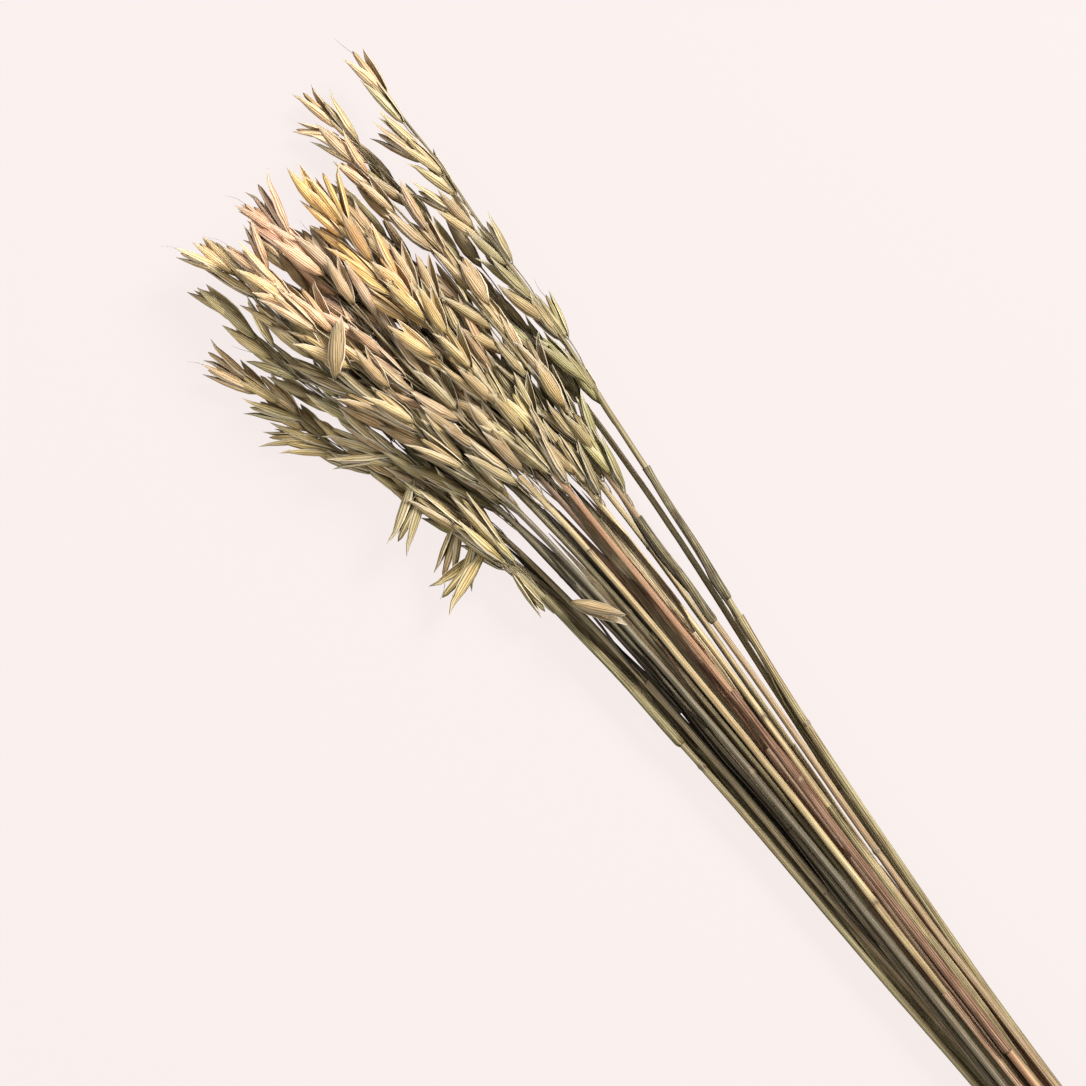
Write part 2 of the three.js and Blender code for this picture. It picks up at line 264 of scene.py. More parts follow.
def scaled(tree, value, factor, shift=0.0):
    # value * factor + shift
    node = tree.nodes.new("ShaderNodeMath")
    node.operation = "MULTIPLY_ADD"
    tree.links.new(value, node.inputs[0])
    node.inputs[1].default_value = factor
    node.inputs[2].default_value = shift
    return node.outputs[0]


def rampShare(tree, value, low, high, most):
    # goes from 0 to its highest share while the value goes from low to high
    return scaled(tree, addRamp(tree, value, low, high), most)


def patternNoise(tree, values, pattern):
    # noise at a place made of three values, each with its own scale
    place = addVector(tree, *[scaled(tree, value, scale) for value, scale in zip(values, pattern["scales"])])
    return addNoise(tree, place, *pattern["noise"])


def finishShader(tree, shader, colour, look):
    tree.links.new(colour, shader.inputs["Base Color"])
    shader.inputs["Roughness"].default_value = look["roughness"]
    shader.inputs["Specular IOR Level"].default_value = look["shine"]


# in these dictionaries, noise is scale, detail and roughness, and a ramp is from, to and highest share
huskLook = {
    "veins": 6, "veinDepth": 0.00020, "veinRamp": (0.0, 0.85), "sway": 0.10, "fibreDepthShare": 0.4,
    "drift": {"scales": (3.0, 30.0, 1.0), "noise": (1.2, 2.0)},
    "fibre": {"scales": (9.0, 1.6, 40.0), "noise": (1.0, 3.0)}, "spotNoise": (110.0, 4.0, 0.65),
    "fibreRamp": (0.42, 0.66, 0.7), "fibreColour": (0.55, 0.46, 0.31, 1.0),
    # the furrows between the vein ridges darken: partly the husk's own vein striping, partly painted shade
    # in the grooves
    "furrowToneAndShade": 0.92, "furrowToneAndShadeColour": (0.33, 0.25, 0.135, 1.0),
    "spotRamp": (0.46, 0.74, 0.6), "spotColour": (0.60, 0.43, 0.26, 1.0),
    "footRamp": (0.42, 0.0, 0.75), "footColour": (0.62, 0.60, 0.42, 1.0),
    "tipRamp": (0.68, 1.0, 0.45), "edgeRamp": (0.80, 0.96, 0.55), "paleColour": (232, 220, 196),
    "roughness": 0.58, "shine": 0.35,
}


def makeHuskMaterial(look):
    material, tree, shader = newMaterial("oatHusk")
    tint, seed, across, along = surfaceParts(tree)
    place = tree.nodes.new("ShaderNodeTexCoord").outputs["Object"]
    drift = patternNoise(tree, (along, seed, across), look["drift"])
    swayed = addMath(tree, "ADD", across, scaled(tree, drift, look["sway"]))
    wave = addMath(tree, "ABSOLUTE", addMath(tree, "SINE", scaled(tree, swayed, math.pi * look["veins"])))
    ridge = addRamp(tree, wave, *look["veinRamp"])
    fibre = patternNoise(tree, (across, along, seed), look["fibre"])
    spots = addNoise(tree, place, *look["spotNoise"])
    # painted shade with vein colour: the grooves between the raised veins are darkened
    furrowToneAndShade = scaled(tree, ridge, -look["furrowToneAndShade"], look["furrowToneAndShade"])
    colour = multiplyColour(tree, furrowToneAndShade, tint, look["furrowToneAndShadeColour"])
    for name, value in (("fibre", fibre), ("spot", spots), ("foot", along)):
        share = rampShare(tree, value, *look[name + "Ramp"])
        colour = multiplyColour(tree, share, colour, look[name + "Colour"])
    edge = addMath(tree, "ABSOLUTE", scaled(tree, across, 2.0, -1.0))
    atTip = rampShare(tree, along, *look["tipRamp"])
    paleShare = addMath(tree, "MAXIMUM", atTip, rampShare(tree, edge, *look["edgeRamp"]))
    colour = addColourMix(tree, paleShare, colour, screenColour(*look["paleColour"]))
    finishShader(tree, shader, colour, look)
    relief = addMath(tree, "ADD", ridge, scaled(tree, fibre, look["fibreDepthShare"]))
    addBump(tree, shader, relief, look["veinDepth"])
    return material


def streakedColour(tree, tint, fibre, look):
    # dark and pale fibres in the piece's own colour
    darker = addColourMix(tree, 1.0, tint, look["fibreColour"], "MULTIPLY")
    paler = addColourMix(tree, look["paleShare"], tint, screenColour(*look["paleColour"]))
    return addColourMix(tree, addRamp(tree, fibre, *look["fibreRamp"]), darker, paler)


strawLook = {
    "alongScale": 7.0, "seedScale": 50.0,
    "fibre": {"scales": (1.0, 4.5, 4.5), "noise": (1.0, 4.0, 0.7)}, "fibreRamp": (0.38, 0.60),
    "fibreColour": (0.26, 0.20, 0.12, 1.0), "paleShare": 0.28, "paleColour": (214, 198, 160),
    "stain": {"scales": (1.6, 1.0, 1.0), "noise": (1.0, 4.0)}, "stainRamp": (0.46, 0.70, 0.75),
    "stainColour": (0.50, 0.31, 0.19, 1.0), "ribDepth": 0.00022, "roughness": 0.42, "shine": 0.45,
}


def makeStrawMaterial(look):
    material, tree, shader = newMaterial("strawSkin")
    tint, seed, along, around = surfaceParts(tree)
    turn = scaled(tree, around, 2 * math.pi)
    seedShift = scaled(tree, seed, look["seedScale"])
    shifted = addMath(tree, "ADD", scaled(tree, along, look["alongScale"]), seedShift)
    place = (shifted, addMath(tree, "COSINE", turn), addMath(tree, "SINE", turn))
    fibre = patternNoise(tree, place, look["fibre"])
    stained = rampShare(tree, patternNoise(tree, place, look["stain"]), *look["stainRamp"])
    colour = multiplyColour(tree, stained, streakedColour(tree, tint, fibre, look), look["stainColour"])
    finishShader(tree, shader, colour, look)
    addBump(tree, shader, fibre, look["ribDepth"])
    return material


leafLook = {
    # ribShare darkens the furrows between the ribs: partly the leaf's own rib colour, partly painted shade
    # in the grooves
    "ribs": 9, "ribRamp": (0.0, 0.6), "ribShare": 0.7, "ribDepth": 0.00022,
    "alongScale": 4.0, "seedScale": 60.0,
    "fibre": {"scales": (1.0, 16.0, 1.0), "noise": (1.0, 4.0, 0.65)}, "fibreRamp": (0.36, 0.62),
    "fibreColour": (0.23, 0.165, 0.10, 1.0), "paleShare": 0.25, "paleColour": (216, 200, 168),
    "stain": {"scales": (2.2, 2.0, 1.0), "noise": (1.0, 4.0)}, "stainRamp": (0.46, 0.68, 0.7),
    "stainColour": (0.46, 0.30, 0.18, 1.0), "roughness": 0.6, "shine": 0.35,
}


def makeLeafMaterial(look):
    material, tree, shader = newMaterial("dryLeaf")
    tint, seed, along, around = surfaceParts(tree)
    wave = addMath(tree, "ABSOLUTE", addMath(tree, "SINE", scaled(tree, around, math.pi * look["ribs"])))
    ribs = addRamp(tree, wave, *look["ribRamp"])
    seedShift = scaled(tree, seed, look["seedScale"])
    place = (addMath(tree, "ADD", scaled(tree, along, look["alongScale"]), seedShift), around, seed)
    fibre = patternNoise(tree, place, look["fibre"])
    # painted shade with rib colour: the grooves between the raised ribs are darkened
    furrowToneAndShade = scaled(tree, ribs, -look["ribShare"], look["ribShare"])
    ribbed = multiplyColour(tree, furrowToneAndShade, streakedColour(tree, tint, fibre, look), look["fibreColour"])
    stained = rampShare(tree, patternNoise(tree, place, look["stain"]), *look["stainRamp"])
    finishShader(tree, shader, multiplyColour(tree, stained, ribbed, look["stainColour"]), look)
    addBump(tree, shader, addMath(tree, "ADD", ribs, fibre), look["ribDepth"])
    return material


twineSkin = {
    "fibre": {"scales": (900.0, 6.0, 1.0), "noise": (1.0, 4.0, 0.7)}, "fibreRamp": (0.65, 0.35),
    "fibreColour": (0.42, 0.34, 0.24, 1.0), "fibreDepth": 0.0003,
    "roughness": 0.9, "shine": 0.15, "sheen": 0.25,
}


def makeTwineMaterial(look):
    material, tree, shader = newMaterial("naturalTwine")
    tint, seed, along, around = surfaceParts(tree)
    fibre = patternNoise(tree, (along, around, seed), look["fibre"])
    colour = multiplyColour(tree, addRamp(tree, fibre, *look["fibreRamp"]), tint, look["fibreColour"])
    finishShader(tree, shader, colour, look)
    shader.inputs["Sheen Weight"].default_value = look["sheen"]
    addBump(tree, shader, fibre, look["fibreDepth"])
    return material


oatHusk = makeHuskMaterial(huskLook)
strawSkin = makeStrawMaterial(strawLook)
dryLeaf = makeLeafMaterial(leafLook)
naturalTwine = makeTwineMaterial(twineSkin)


profileReach = 0.5 * mm  # how far below its path a cupped profile may reach


def drawPath(name, routes, thickness, sides=2, profile=None, caps=True):
    # routes: lists of (place, radius share, tilt)
    deselectAll()
    bpy.ops.curve.primitive_nurbs_path_add(location=(0, 0, 0))
    path = bpy.context.object
    path.name = name
    path.data.splines.clear()
    path.data.dimensions = "3D"
    path.data.twist_mode = "MINIMUM"
    if profile is None:
        path.data.bevel_depth = thickness
        path.data.bevel_resolution = sides
    else:
        path.data.bevel_mode = "OBJECT"
        path.data.bevel_object = profile
    path.data.use_fill_caps = caps
    reach = thickness if profile is None else profileReach
    for route in routes:
        spline = path.data.splines.new("POLY")
        spline.points.add(len(route) - 1)
        spline.use_smooth = True
        for point, (place, share, tilt) in zip(spline.points, route):
            lowest = restLevel + share * reach
            point.co = (place[0], place[1], max(place[2], lowest), 1.0)
            point.radius = share
            point.tilt = tilt
    makeActive(path)
    bpy.ops.object.convert(target="MESH")
    return bpy.context.object


stemLook = {
    "buttRadius": 1.68 * mm, "neckRadius": 1.08 * mm, "headEntry": 6 * mm, "step": 6 * mm,
    "wobble": 0.066 * mm, "wobbleKept": 0.9, "shade": (0.9, 0.2),
    "jointEvery": 165 * mm, "jointStart": 40, "jointStagger": 13, "jointFreeEnd": 30 * mm,
    "jointRings": (-1.6 * mm, -0.7 * mm, 0, 0.7 * mm, 1.6 * mm),
    "jointSwell": 1.22, "jointReach": 0.3 * mm, "shoulderSwell": 1.10, "shoulderReach": 1.0 * mm,
    "jointColour": (92, 70, 44), "jointColourReach": 2.2 * mm,
    # the very dark colours of stalks 10, 15, 16 and 17 are painted shade deep in the bundle
    "colours": {
        "01": (150, 140, 94), "02": (156, 143, 98), "03": (178, 152, 116), "04": (208, 190, 144),
        "05": (206, 186, 140), "06": (178, 126, 90), "07": (114, 72, 46), "08": (206, 186, 138),
        "09": (122, 112, 70), "10": (60, 52, 35), "11": (90, 84, 58), "12": (190, 176, 134),
        "13": (152, 142, 96), "14": (140, 131, 86), "15": (78, 56, 36), "16": (40, 32, 22),
        "17": (52, 44, 30),
    },
}


def jointPlaces(number, line, look):
    # where the swollen joints are along a stem, at another distance for each stalk
    stagger = look["jointStagger"] * (int(number) * 7 % 9)
    start = line[0].x - (look["jointStart"] + stagger) * mm
    places = []
    while start > line[-1].x + look["jointFreeEnd"]:
        places.append(start)
        start -= look["jointEvery"]
    return places


def nearestJoint(joints, x):
    return min((abs(x - joint) for joint in joints), default=1.0)


def makeStem(number, look):
    line = lines[number]
    first, last = stems[number][0].x, stems[number][-1].x - look["headEntry"]
    joints = jointPlaces(number, stems[number], look)
    stops = []
    x = first
    while x > last:
        stops.append(x)
        x -= look["step"]
    stops.append(last)
    for joint in joints:
        stops += [joint + offset for offset in look["jointRings"]]
    stops.sort(reverse=True)
    route = []
    drift = Vector((0, 0, 0))
    for x in stops:
        share = (first - x) / (first - last)
        push = Vector((0, random.uniform(-1, 1), random.uniform(-1, 1)))
        drift = drift * look["wobbleKept"] + push * look["wobble"]
        radius = look["buttRadius"] + (look["neckRadius"] - look["buttRadius"]) * share
        near = nearestJoint(joints, x)
        swell = 1.0
        if near < look["jointReach"]:
            swell = look["jointSwell"]
        elif near < look["shoulderReach"]:
            swell = look["shoulderSwell"]
        route.append((spotOn(line, x) + drift, radius / look["buttRadius"] * swell, 0))
    piece = drawPath("oatStem" + number, [route], look["buttRadius"], 2)
    colour = screenColour(*look["colours"][number])
    jointColour = screenColour(*look["jointColour"])
    darkest, variation = look["shade"]
    seed = random.random()

    def colourAt(place):
        share = max(0.0, 1 - nearestJoint(joints, place.x) / look["jointColourReach"])
        shade = darkest + variation * random.random()
        red, green, blue, _ = blendColours(colour, jointColour, share)
        return (red * shade, green * shade, blue * shade, seed)

    paintTint(piece, colourAt)
    piece.data.materials.append(strawSkin)
    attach(piece, "root")
    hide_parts("stem_" + number)


for number in stalkNumbers:
    makeStem(number, stemLook)
print("stems made")


# black is painted shadow that fills the gaps between stalks; dark is dried leaf darkened with painted shade
leafColours = {
    "grey": (122, 108, 80), "olive": (107, 100, 61), "dark": (52, 42, 25), "shadowBlack": (22, 17, 11),
    "brown": (133, 82, 53), "rust": (164, 106, 72), "pink": (194, 155, 125), "cream": (208, 190, 148),
    "beige": (166, 148, 111), "moss": (140, 132, 80), "straw": (178, 167, 120),
}

# each leaf: stalk, colour, how torn its mouth is, way round of its opening in degrees, strips
# strips: first stalk, second stalk, share between them, start, end, width and lift in mm, turns, colour
leafPlan = {
    "leaf_01": ("01", "straw", 1.0, 200, [
        ("01", "02", 0.1, 40, -38, 3.6, 1.0, 0.2, "moss"),
        ("01", "02", 0.2, 30, -60, 2.6, 0.0, 0.1, "grey"),
    ]),
    "leaf_02": ("01", "olive", 0.6, 260, [
        ("01", "01", 0.0, -30, -72, 4.0, 1.4, 0.25, "dark"),
        ("01", "02", 0.2, -62, -112, 2.8, 1.0, -0.2, "moss"),
    ]),
    "leaf_03": ("03", "pink", 0.0, 20, [
        ("03", "06", 0.6, 150, 20, 4.0, -1.0, 0.1, "cream"),
        ("03", "05", 0.5, 170, 60, 3.6, 0.0, 0.1, "rust"),
    ]),
    "leaf_04": ("03", "olive", 0.0, 250, [
        ("03", "04", 0.3, -60, -112, 2.4, 0.0, 0.2, "dark"),
    ]),
    "leaf_05": ("04", "cream", 0.3, 280, [
        ("04", "05", 0.5, 120, 20, 2.8, 0.5, 0.1, "rust"),
    ]),
    "leaf_06": ("05", "moss", 0.3, 240, [
        ("05", "06", 0.4, 80, -90, 5.0, -2.0, 0.06, "dark"),
        ("05", "06", 0.6, -20, -104, 4.6, 0.5, 0.15, "cream"),
        ("05", "15", 0.4, 20, -122, 6.4, -1.0, -0.05, "olive"),
        ("05", "06", 0.3, -50, -116, 3.4, 1.5, -0.1, "beige"),
    ]),
    "leaf_07": ("06", "brown", 1.0, 300, [
        ("06", "07", 0.5, 50, -60, 5.0, 0.0, 0.1, "rust"),
        ("06", "07", 0.3, -30, -118, 4.4, 0.6, -0.2, "rust"),
        ("06", "15", 0.5, 60, -120, 7.0, 0.0, 0.05, "dark"),
        ("06", "08", 0.4, 0, -116, 5.4, -2.5, 0.08, "beige"),
        ("07", "15", 0.6, 90, -40, 6.0, -1.0, 0.05, "shadowBlack"),
    ]),
    "leaf_08": ("08", "pink", 0.8, 230, [
        ("07", "08", 0.5, 130, 10, 4.8, 1.2, 0.1, "rust"),
        ("08", "09", 0.5, 60, -60, 6.0, -2.0, 0.1, "brown"),
        ("08", "07", 0.4, 0, -116, 5.6, -1.0, -0.12, "brown"),
        ("08", "16", 0.6, 50, -120, 7.4, 0.0, 0.05, "shadowBlack"),
        ("07", "16", 0.5, 0, -122, 6.6, -1.0, 0.06, "dark"),
    ]),
    "leaf_09": ("11", "grey", 0.5, 250, [
        ("09", "10", 0.5, 40, -112, 4.4, -1.0, 0.1, "beige"),
        ("10", "11", 0.5, 90, -60, 6.4, -1.0, 0.08, "dark"),
        ("09", "16", 0.5, 110, -110, 7.2, -0.5, 0.05, "shadowBlack"),
        ("10", "11", 0.6, -20, -118, 5.0, 0.0, 0.2, "dark"),
        ("11", "17", 0.5, 140, -60, 7.0, 0.0, 0.05, "shadowBlack"),
        ("10", "17", 0.6, -30, -126, 5.2, 0.0, 0.1, "dark"),
    ]),
    "leaf_10": ("12", "beige", 1.0, 290, [
        ("12", "13", 0.5, 60, -60, 3.8, 0.8, 0.15, "olive"),
        ("12", "11", 0.4, -30, -86, 3.0, 0.6, 0.5, "shadowBlack"),
    ]),
    "leaf_11": ("13", "beige", 0.3, 240, [
        ("13", "12", 0.5, 0, -104, 4.2, 0.8, 0.15, "moss"),
        ("13", "12", 0.6, -40, -120, 5.0, -1.0, 0.1, "olive"),
    ]),
    "leaf_12": ("14", "straw", 0.0, 260, [
        ("12", "14", 0.3, 180, 60, 3.6, 1.0, 0.1, "straw"),
    ]),
    "leaf_13": ("14", "moss", 0.5, 230, [
        ("14", "12", 0.5, -40, -112, 4.4, 0.0, 0.15, "beige"),
        ("14", "13", 0.5, -50, -122, 4.2, 0.4, -0.15, "olive"),
    ]),
}
sheathLook = {
    "foot": 1.85 * mm, "mouth": 1.34 * mm, "taperPower": 0.7, "footShare": 0.80, "footLength": 1.5 * mm,
    "wall": 0.18 * mm, "arc": 292, "points": 13, "step": 5 * mm, "twist": 0.7,
    "flare": 0.35, "flareFrom": 0.92, "flareLength": 0.08,
    # sideways and upward sway: mm, and waves along the sheath
    "sway": (0.18, 9), "heave": (0.12, 7),
}
stripLook = {
    "radius": 0.62 * mm, "arc": 130, "points": 5, "wall": 0.16 * mm, "step": 6 * mm, "fewest": 6,
    "sway": (0.5, 5), "heave": (0.5, 7), "ripple": (0.15, 11), "tiltSpread": 0.5,
    # width shares at the two ends, and how fast they widen
    "startTaper": (0.35, 4), "endTaper": (0.06, 2.6),
}


def arcProfile(name, radius, degrees, count):
    # an open arc, the cross-section of a split sheath or a cupped strip
    deselectAll()
    bpy.ops.curve.primitive_nurbs_path_add(location=(0, 0, 0))
    arc = bpy.context.object
    arc.name = name
    arc.data.splines.clear()
    arc.data.dimensions = "2D"
    spline = arc.data.splines.new("POLY")
    spline.points.add(count - 1)
    for i, point in enumerate(spline.points):
        angle = math.radians(-degrees / 2 + degrees * i / (count - 1))
        point.co = (radius * math.cos(angle), radius * math.sin(angle), 0, 1)
    return arc


sheathProfile = arcProfile("sheathProfile", 1 * mm, sheathLook["arc"], sheathLook["points"])
stripProfile = arcProfile("stripProfile", stripLook["radius"], stripLook["arc"], stripLook["points"])


def paintPlain(piece, colour, variation=0.12):
    # one colour with a slight change from point to point, and a seed of its own
    base = screenColour(*colour)
    seed = random.random()

    def colourAt(place):
        shade = random.uniform(1 - variation, 1 + variation)
        return (base[0] * shade, base[1] * shade, base[2] * shade, seed)

    paintTint(piece, colourAt)


def giveWall(piece, thickness):
    wall = piece.modifiers.new("wall", "SOLIDIFY")
    wall.thickness = thickness
    wall.offset = 1
    applyModifiers(piece)


def makeSheath(node, stalk, colour, torn, opening, look):
    low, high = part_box(node)
    line = lines[stalk]
    first, last = high.x, low.x
    count = int((first - last) / look["step"])
    tilt = math.radians(opening)
    sway, swayWaves = look["sway"]
    heave, heaveWaves = look["heave"]
    route = [(spotOn(line, first), look["footShare"] * look["foot"] / mm, tilt)]
    for i in range(count + 1):
        share = i / count
        x = first - look["footLength"] + (last - first + look["footLength"]) * share
        radius = look["foot"] + (look["mouth"] - look["foot"]) * share ** look["taperPower"]
        opened = max(0, share - look["flareFrom"]) / look["flareLength"]
        flare = 1 + look["flare"] * torn * opened
        swing = Vector((0, sway * math.sin(swayWaves * share + tilt), heave * math.sin(heaveWaves * share)))
        route.append((spotOn(line, x) + swing * mm, radius / mm * flare, tilt + look["twist"] * share))
    piece = drawPath(node + "Sheath", [route], 1, 0, sheathProfile, caps=False)
    giveWall(piece, look["wall"])
    paintPlain(piece, leafColours[colour])
    return piece


def makeStrip(strip, look):
    # a torn strip of dried leaf, cupped and slowly turning
    first, second, share, start, end, width, lift, turns, colour = strip
    start, end = start * mm, end * mm
    count = max(look["fewest"], int((start - end) / look["step"]))
    phase = random.uniform(0, 6.28)
    tilt = random.uniform(-look["tiltSpread"], look["tiltSpread"]) + math.pi / 2
    sway, swayWaves = look["sway"]
    heave, heaveWaves = look["heave"]
    ripple, rippleWaves = look["ripple"]
    startShare, startRate = look["startTaper"]
    endShare, endRate = look["endTaper"]
    route = []
    for i in range(count + 1):
        part = i / count
        x = start + (end - start) * part
        place = spotOn(lines[first], x).lerp(spotOn(lines[second], x), share)
        level = lift + heave * math.sin(heaveWaves * part + phase)
        place += Vector((0, sway * math.sin(swayWaves * part + phase), level)) * mm
        taper = min(1, startShare + startRate * part) * min(1, endShare + endRate * (1 - part))
        wave = 1 + ripple * math.sin(rippleWaves * part + phase)
        route.append((place, width * taper * wave, tilt + 2 * math.pi * turns * part))
    piece = drawPath("strip", [route], 1, 0, stripProfile, caps=False)
    giveWall(piece, look["wall"])
    # the blackest strips are painted shadow between the stalks, the dark ones dried leaf with painted shade
    paintPlain(piece, leafColours[colour])
    return piece


def makeLeaf(node, stalk, colour, torn, opening, strips):
    parts = [makeSheath(node, stalk, colour, torn, opening, sheathLook)]
    for strip in strips:
        parts.append(makeStrip(strip, stripLook))
    piece = joinAll(parts, "oat_" + node)
    piece.data.materials.append(dryLeaf)
    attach(piece, "root")
    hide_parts(node)


for node, plan in leafPlan.items():
    makeLeaf(node, *plan)
for profile in (sheathProfile, stripProfile):
    bpy.data.objects.remove(profile)
print("leaves made")


glumeRows = [
    # along, half-width share, height of the keel, drop of the edges
    (0.00, 0.12, 0.20, 0.05), (0.14, 0.62, 0.78, 0.55), (0.36, 1.00, 1.00, 1.00),
    (0.60, 0.88, 0.94, 0.92), (0.83, 0.46, 0.62, 0.50), (1.00, 0.03, 0.22, 0.03),
]
spikeletLook = {
    "length": 23 * mm, "width": 5.0 * mm, "keel": 1.9 * mm, "edge": 2.0 * mm, "wall": 0.14 * mm,
    "lowerShare": 0.93, "quarterDrop": 0.28, "tipFlare": 0.5,
    "floretWidth": 1.5 * mm, "floretDepth": 1.3 * mm, "floretHalf": 0.42, "floretMiddle": 0.47,
    "awnFrom": 0.8, "awnLength": 10 * mm, "awnBend": 3.2 * mm, "awnRise": 1.2 * mm, "awnRadius": 0.12 * mm,
    "awnSteps": 5, "awnThinning": 0.7,
    # how pale the upper husk, lower husk, floret and awn are: the lower husk and the floret between the
    # husks are darker as painted shade, the awn is darker in its own colour
    "shades": (1.0, 0.94, 0.86, 0.40),
}
kindKeys = ("opening", "splay", "bow", "long", "wide", "flare", "awn")
spikeletKinds = [
    # opening and splay in degrees, sideways bow, length and width shares, flare of the tips, awn
    (7, 3, 0.03, 1.0, 1.0, 0.3, False), (12, 5, -0.05, 1.04, 0.9, 0.7, False),
    (16, 2, 0.06, 0.98, 0.92, 1.2, False), (9, 4, -0.1, 1.0, 0.84, 0.2, True),
    (22, 6, 0.02, 1.02, 1.0, 1.6, False), (5, 6, 0.11, 0.94, 0.86, 0.1, False),
    (13, 7, -0.02, 0.9, 1.04, 0.5, True), (8, 3, -0.07, 1.08, 0.8, 0.6, False),
]


def onRow(level, nearest=-1.0, farthest=math.inf):
    # picks the vertices of one row of a flat grid, between two distances from its middle line
    rowGap = 0.02
    return lambda place: abs(place.y - level) < rowGap and nearest < abs(place.x) < farthest


def makeGlume(kind, look, side):
    # one boat-shaped husk, from a flat grid: its foot at the origin, its tip along +Y, its back up or down
    deselectAll()
    rows = len(glumeRows) - 1
    bpy.ops.mesh.primitive_grid_add(x_subdivisions=4, y_subdivisions=rows, size=1, location=(0, 0, 0))
    husk = bpy.context.object
    length = look["length"] * kind["long"] * (1.0 if side > 0 else look["lowerShare"])
    width = look["width"] * kind["wide"]
    levels = [-0.5 + i / rows for i in range(rows + 1)]
    for level, (along, wide, keel, drop) in zip(levels, glumeRows):
        across = wide * width
        fall = -look["edge"] * drop
        scaleVertices(husk, onRow(level), (across, 1, 1))
        shiftVertices(husk, onRow(level, 0.4 * across), (0, 0, fall))
        shiftVertices(husk, onRow(level, 0.1 * across, 0.4 * across), (0, 0, fall * look["quarterDrop"]))
        flare = kind["flare"] * look["tipFlare"] if along == 1.0 else 0
        rise = look["keel"] * (keel + flare)
        shiftVertices(husk, onRow(level), (kind["bow"] * length * along * along, 0, rise))
    # the rows spread to their real places from the tip on, well clear of the rows still to be moved
    clear = 2.0
    for level, row in reversed(list(zip(levels, glumeRows))):
        shiftVertices(husk, onRow(level), (0, clear + row[0] * length - level, 0))
    shiftVertices(husk, lambda place: True, (0, -clear, 0))
    wall = husk.modifiers.new("wall", "SOLIDIFY")
    wall.thickness = look["wall"]
    wall.offset = -1
    applyModifiers(husk)
    opened = Matrix.Rotation(math.radians(kind["opening"] / 2), 4, "X")
    tilt = opened @ Matrix.Rotation(math.radians(kind["splay"]), 4, "Z")
    if side < 0:
        tilt = Matrix.Rotation(math.pi, 4, "Y") @ tilt
        for vertex in husk.data.vertices:
            vertex.co.x = vertex.co.x - 2 * kind["bow"] * length * (vertex.co.y / length) ** 2
    husk.data.transform(tilt)
    return husk


def makeFloret(look):
    # the slim inner husk between the two outer ones
    deselectAll()
    bpy.ops.mesh.primitive_uv_sphere_add(segments=6, ring_count=5, radius=1, location=(0, 0, 0),
                                         rotation=(math.radians(90), 0, 0))
    floret = bpy.context.object
    bpy.ops.object.transform_apply(location=False, rotation=True, scale=False)
    size = (look["floretWidth"], look["floretHalf"] * look["length"], look["floretDepth"])
    scaleVertices(floret, lambda place: True, size)
    shiftVertices(floret, lambda place: True, (0, look["floretMiddle"] * look["length"], 0))
    return floret


def makeAwn(kind, look):
    start = look["awnFrom"] * look["length"]
    bend = -look["awnBend"] if kind["bow"] < 0 else look["awnBend"]
    route = []
    for i in range(look["awnSteps"] + 1):
        share = i / look["awnSteps"]
        rise = look["awnRise"] * math.sin(3 * share)
        place = Vector((bend * share * share, start + look["awnLength"] * share, rise))
        route.append((place, 1 - look["awnThinning"] * share, 0))
    return drawPath("awn", [route], look["awnRadius"], 0)


def makeSpikelet(index, kind, look):
    parts = [makeGlume(kind, look, 1), makeGlume(kind, look, -1), makeFloret(look)]
    if kind["awn"]:
        parts.append(makeAwn(kind, look))
    # painted shade on the lower husk and the floret inside, the awn's own darker colour
    for part, shade in zip(parts, look["shades"]):
        paintTint(part, lambda place: (shade, shade, shade, 1.0))
    spikelet = joinAll(parts, "spikeletKind%d" % index)
    makeActive(spikelet)
    bpy.ops.object.shade_smooth()
    return spikelet


spikelets = []
for i, kind in enumerate(spikeletKinds):
    spikelets.append(makeSpikelet(i, dict(zip(kindKeys, kind)), spikeletLook))
print("spikelet kinds made:", len(spikelets), "faces:", [len(s.data.polygons) for s in spikelets])


def hangSpikelet(kindIndex, foot, aim, faceUp, size, colour, seed):
    source = spikelets[kindIndex]
    copy = source.copy()
    copy.data = source.data.copy()
    bpy.context.scene.collection.objects.link(copy)
    along = (aim - foot).normalized()
    face = (faceUp - along * faceUp.dot(along)).normalized()
    across = along.cross(face)
    placing = Matrix((across, along, face)).transposed().to_4x4()
    placing = Matrix.Translation(foot) @ placing @ Matrix.Scale(size, 4)
    copy.data.transform(placing)
    sunk = restLevel - min(vertex.co.z for vertex in copy.data.vertices)
    if sunk > 0:
        copy.data.transform(Matrix.Translation((0, 0, sunk)))
    # each part keeps its shade from its kind, with the painted shade of the lower husk and floret
    layer = copy.data.color_attributes["tint"]
    for datum in layer.data:
        shade = datum.color[0]
        datum.color = (colour[0] * shade, colour[1] * shade, colour[2] * shade, seed)
    return copy


